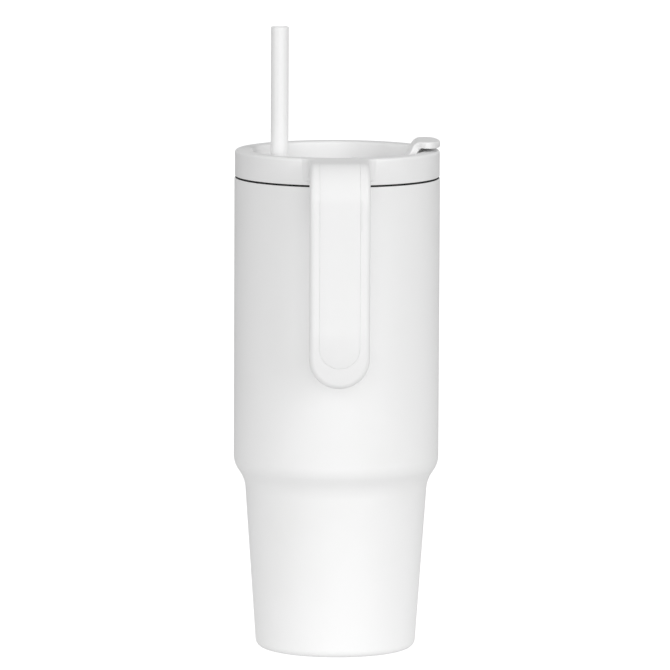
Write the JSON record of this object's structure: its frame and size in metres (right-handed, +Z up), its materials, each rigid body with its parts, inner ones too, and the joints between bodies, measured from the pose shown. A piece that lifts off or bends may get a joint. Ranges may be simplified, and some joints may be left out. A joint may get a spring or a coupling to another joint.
{
  "type": "insulated tumbler with lid",
  "caption": "Tall double-wall insulated tumbler, tapered to fit a cup holder, with a screw lid that carries a strap handle, a hinged sip flap and a drinking straw.",
  "frame": {"origin": "on the cup's axis, in the plane of the surface that the cup stands on, at the middle of the base", "axes": "+Z up along the cup's axis, the strap handle towards -Y, the finger tab of the sip flap towards +X, the straw towards -X"},
  "size_m": [0.1, 0.136, 0.3041],
  "materials": {
    "powder_coat": "fine-grained matte white powder coat",
    "bare_steel": "turned and electropolished stainless steel",
    "getter_metal": "sintered grey metal",
    "foil": "bright thin foil",
    "soft_grey": "matte pale grey silicone",
    "black_rubber": "matte black silicone",
    "lid_plastic": "satin white moulded plastic",
    "panel_plastic": "fine matte white moulded plastic",
    "foam": "closed-cell white foam",
    "soft_white": "matte translucent white silicone",
    "flap_plastic": "satin white moulded plastic",
    "straw_plastic": "slightly milky white plastic"
  },
  "bodies": {
    "cup": {"outer_shell": "powder_coat", "outer_base": "bare_steel", "vacuum_seal_cap": "bare_steel", "getter": "getter_metal", "radiation_foil": "foil", "inner_liner": "bare_steel", "base_pad": "soft_grey"},
    "lid_ring": {"lid_gasket": "black_rubber"},
    "lid": {"lid_collar": "lid_plastic", "handle_panel": "panel_plastic", "lid_deck": "lid_plastic", "deck_seal": "soft_grey", "lid_foam": "foam", "lid_plug": "lid_plastic", "straw_grommet": "soft_white", "flap_pin": "bare_steel"},
    "flap": {"sip_flap": "flap_plastic", "flap_stopper": "soft_white", "vent_stopper": "soft_white"},
    "straw_tube": {"straw": "straw_plastic"}
  },
  "joints": [
    {"name": "lid_rise", "type": "slide", "parent": "cup", "child": "lid_ring", "axis": [0, 0, 1], "range_m": [0, 0.02]},
    {"name": "lid_turn", "type": "hinge", "parent": "lid_ring", "child": "lid", "pos_m": [0, 0, 0.2307], "axis": [0, 0, 1], "range_deg": [0, 720]},
    {"name": "flap_hinge", "type": "hinge", "parent": "lid", "child": "flap", "pos_m": [0.009, 0, 0.2372], "axis": [0, -1, 0], "range_deg": [0, 110]},
    {"name": "straw_slide", "type": "slide", "parent": "lid", "child": "straw_tube", "axis": [0, 0, 1], "range_m": [0, 0.24]}
  ],
  "couplings": [
    {"joint": "lid_rise", "follows": "lid_turn", "m_per_rad": 0.0015915}
  ]
}
